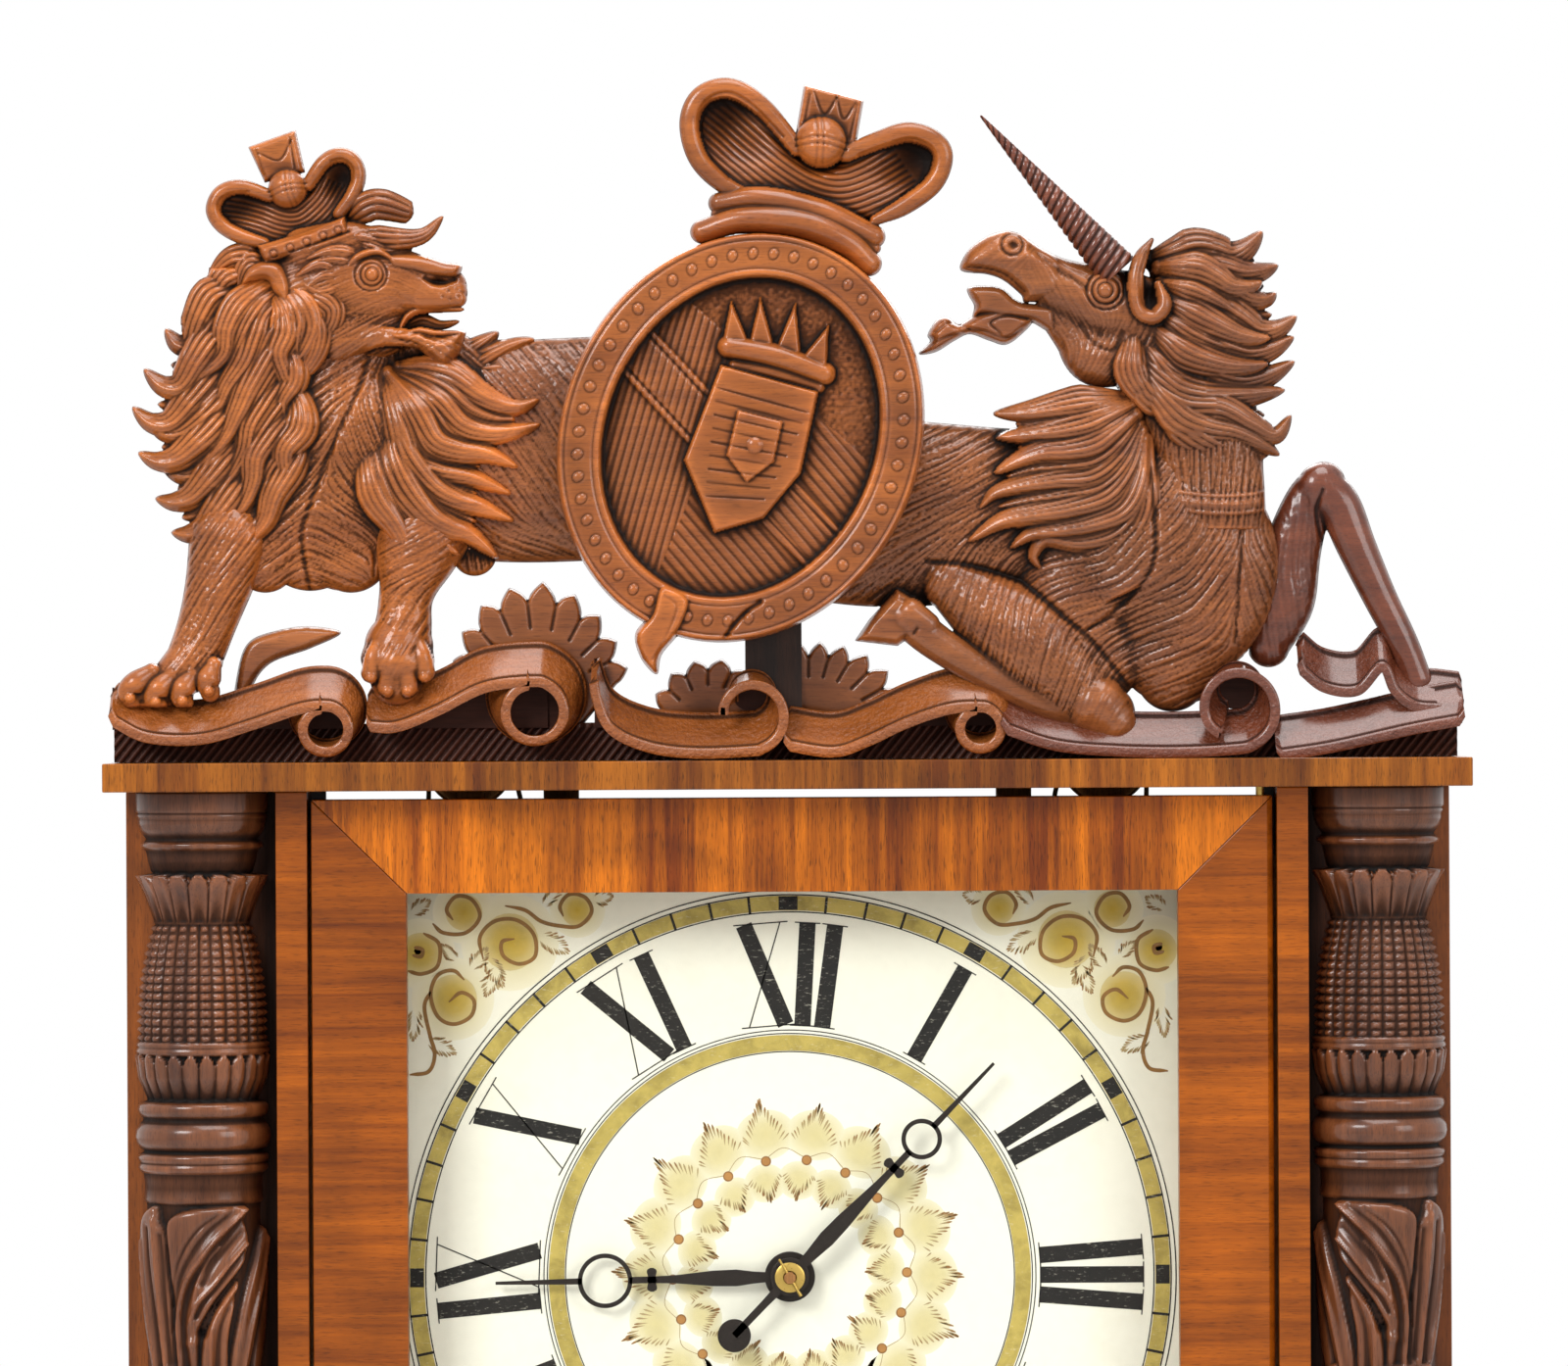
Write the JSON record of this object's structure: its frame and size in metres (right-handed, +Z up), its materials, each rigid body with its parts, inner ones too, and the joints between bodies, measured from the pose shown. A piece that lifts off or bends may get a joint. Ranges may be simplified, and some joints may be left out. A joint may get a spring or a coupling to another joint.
{
  "type": "shelf clock",
  "caption": "Weight-driven wooden shelf clock with carved animal crest, half columns, glazed door over a painted dial, pendulum and bell.",
  "frame": {"origin": "on the shelf, at the middle of the case's width and of the cornice's depth", "axes": "+Z up, the dial looks along -Y, +X to the right as seen from the front"},
  "size_m": [0.457, 0.15, 0.8751],
  "materials": {
    "veneer": "shellacked veneer",
    "carved": "carved, shellacked",
    "dark": "dark carved, shellacked",
    "pine": "bare",
    "cherry": "bare",
    "brass": "worn",
    "iron": "blackened",
    "steel": "drawn wire",
    "cream": "painted",
    "glass": "clear",
    "mirror": "silvered",
    "cord": "twisted"
  },
  "bodies": {
    "case": {"case_left_side": "veneer", "case_right_side": "veneer", "left_front_panel": "veneer", "right_front_panel": "veneer", "left_door_jamb": "veneer", "right_door_jamb": "veneer", "cornice": "veneer", "base_board": "veneer", "crest_base": "carved", "cartouche": "carved", "cartouche_crown": "carved", "lion": "carved", "unicorn": "carved", "unicorn_horn": "carved", "front_left_foot": "dark", "front_right_foot": "dark", "back_left_foot": "dark", "back_right_foot": "dark", "left_column": "dark", "right_column": "dark", "crest_brace": "dark", "back_board": "pine", "left_movement_rail": "pine", "right_movement_rail": "pine", "front_plate": "cherry", "back_plate": "cherry", "bell": "brass", "upper_door_pivot": "iron", "lower_door_pivot": "iron", "dial": "cream", "time_cord": "cord", "strike_cord": "cord"},
    "door": {"door_left_stile": "veneer", "door_right_stile": "veneer", "door_top_rail": "veneer", "door_middle_rail": "veneer", "door_bottom_rail": "veneer", "dial_glass": "glass", "mirror_glass": "mirror"},
    "catch": {"door_catch": "brass"},
    "minute": {"centre_arbor": "cherry", "minute_hand": "iron", "hand_washer": "brass", "hand_pin": "brass"},
    "hour": {"hour_wheel": "cherry", "hour_hand": "iron"},
    "minute_wheel": {"minute_wheel": "cherry"},
    "great_wheel": {"time_great_wheel": "cherry"},
    "third_wheel": {"third_wheel": "cherry"},
    "escape_wheel": {"escape_wheel": "cherry"},
    "verge": {"verge": "iron"},
    "pendulum": {"pendulum_rod": "steel", "pendulum_bob": "brass"},
    "time_drum": {"time_drum": "cherry"},
    "strike_drum": {"strike_drum": "cherry"},
    "time_pulley": {"time_pulley": "cherry"},
    "strike_pulley": {"strike_pulley": "cherry"},
    "time_weight": {"time_weight": "iron"},
    "strike_weight": {"strike_weight": "iron"},
    "hammer": {"hammer": "steel"}
  },
  "joints": [
    {"name": "door_swing", "type": "hinge", "parent": "case", "child": "door", "pos_m": [0.15845, -0.0565, 0.35], "axis": [0, 0, 1], "range_deg": [0, 100]},
    {"name": "catch_turn", "type": "hinge", "parent": "door", "child": "catch", "pos_m": [-0.14375, -0.05, 0.324], "axis": [0, 1, 0], "range_deg": [0, 90]},
    {"name": "minute_turn", "type": "hinge", "parent": "case", "child": "minute", "pos_m": [0, 0, 0.4715], "axis": [0, 1, 0], "continuous": true},
    {"name": "hour_turn", "type": "hinge", "parent": "case", "child": "hour", "pos_m": [0, 0, 0.4715], "axis": [0, 1, 0], "continuous": true},
    {"name": "minute_wheel_turn", "type": "hinge", "parent": "case", "child": "minute_wheel", "pos_m": [0.02, 0, 0.4715], "axis": [0, 1, 0], "continuous": true},
    {"name": "great_wheel_turn", "type": "hinge", "parent": "case", "child": "great_wheel", "pos_m": [-0.03202, 0, 0.4382], "axis": [0, 1, 0], "continuous": true},
    {"name": "third_wheel_turn", "type": "hinge", "parent": "case", "child": "third_wheel", "pos_m": [-0.019, 0, 0.50383], "axis": [0, 1, 0], "continuous": true},
    {"name": "escape_wheel_turn", "type": "hinge", "parent": "case", "child": "escape_wheel", "pos_m": [0, 0, 0.53616], "axis": [0, 1, 0], "continuous": true},
    {"name": "pendulum_swing", "type": "hinge", "parent": "case", "child": "pendulum", "pos_m": [0, 0.0315, 0.55816], "axis": [0, 1, 0], "range_deg": [-3.5, 3.5]},
    {"name": "verge_rock", "type": "hinge", "parent": "case", "child": "verge", "pos_m": [0, 0, 0.55816], "axis": [0, 1, 0], "range_deg": [-3.6, 3.6]},
    {"name": "time_weight_lift", "type": "slide", "parent": "case", "child": "time_weight", "axis": [0, 0, 1], "range_m": [0, 0.3], "deforming": ["time_cord"]},
    {"name": "time_drum_wind", "type": "hinge", "parent": "case", "child": "time_drum", "pos_m": [-0.03202, 0, 0.4382], "axis": [0, 1, 0], "range_deg": [-1150, 0]},
    {"name": "time_pulley_turn", "type": "hinge", "parent": "case", "child": "time_pulley", "pos_m": [-0.1085, -0.0015, 0.6454], "axis": [0, 1, 0], "range_deg": [0, 1230]},
    {"name": "strike_weight_lift", "type": "slide", "parent": "case", "child": "strike_weight", "axis": [0, 0, 1], "range_m": [0, 0.3], "deforming": ["strike_cord"]},
    {"name": "strike_drum_wind", "type": "hinge", "parent": "case", "child": "strike_drum", "pos_m": [0.03202, 0, 0.4382], "axis": [0, 1, 0], "range_deg": [0, 1150]},
    {"name": "strike_pulley_turn", "type": "hinge", "parent": "case", "child": "strike_pulley", "pos_m": [0.1085, -0.0015, 0.6454], "axis": [0, 1, 0], "range_deg": [-1230, 0]},
    {"name": "hammer_lift", "type": "hinge", "parent": "case", "child": "hammer", "pos_m": [0.052, 0, 0.3965], "axis": [0, -1, 0], "range_deg": [0, 12]}
  ],
  "couplings": [
    {"joint": "hour_turn", "follows": "minute_turn", "ratio": 0.083333},
    {"joint": "minute_wheel_turn", "follows": "minute_turn", "ratio": -0.33333},
    {"joint": "great_wheel_turn", "follows": "minute_turn", "ratio": -0.1},
    {"joint": "third_wheel_turn", "follows": "minute_turn", "ratio": -9},
    {"joint": "escape_wheel_turn", "follows": "minute_turn", "ratio": 81},
    {"joint": "verge_rock", "follows": "pendulum_swing", "ratio": 1},
    {"joint": "time_drum_wind", "follows": "time_weight_lift", "rad_per_m": -66.225},
    {"joint": "time_pulley_turn", "follows": "time_weight_lift", "rad_per_m": 70.922},
    {"joint": "strike_drum_wind", "follows": "strike_weight_lift", "rad_per_m": 66.225},
    {"joint": "strike_pulley_turn", "follows": "strike_weight_lift", "rad_per_m": -70.922}
  ]
}
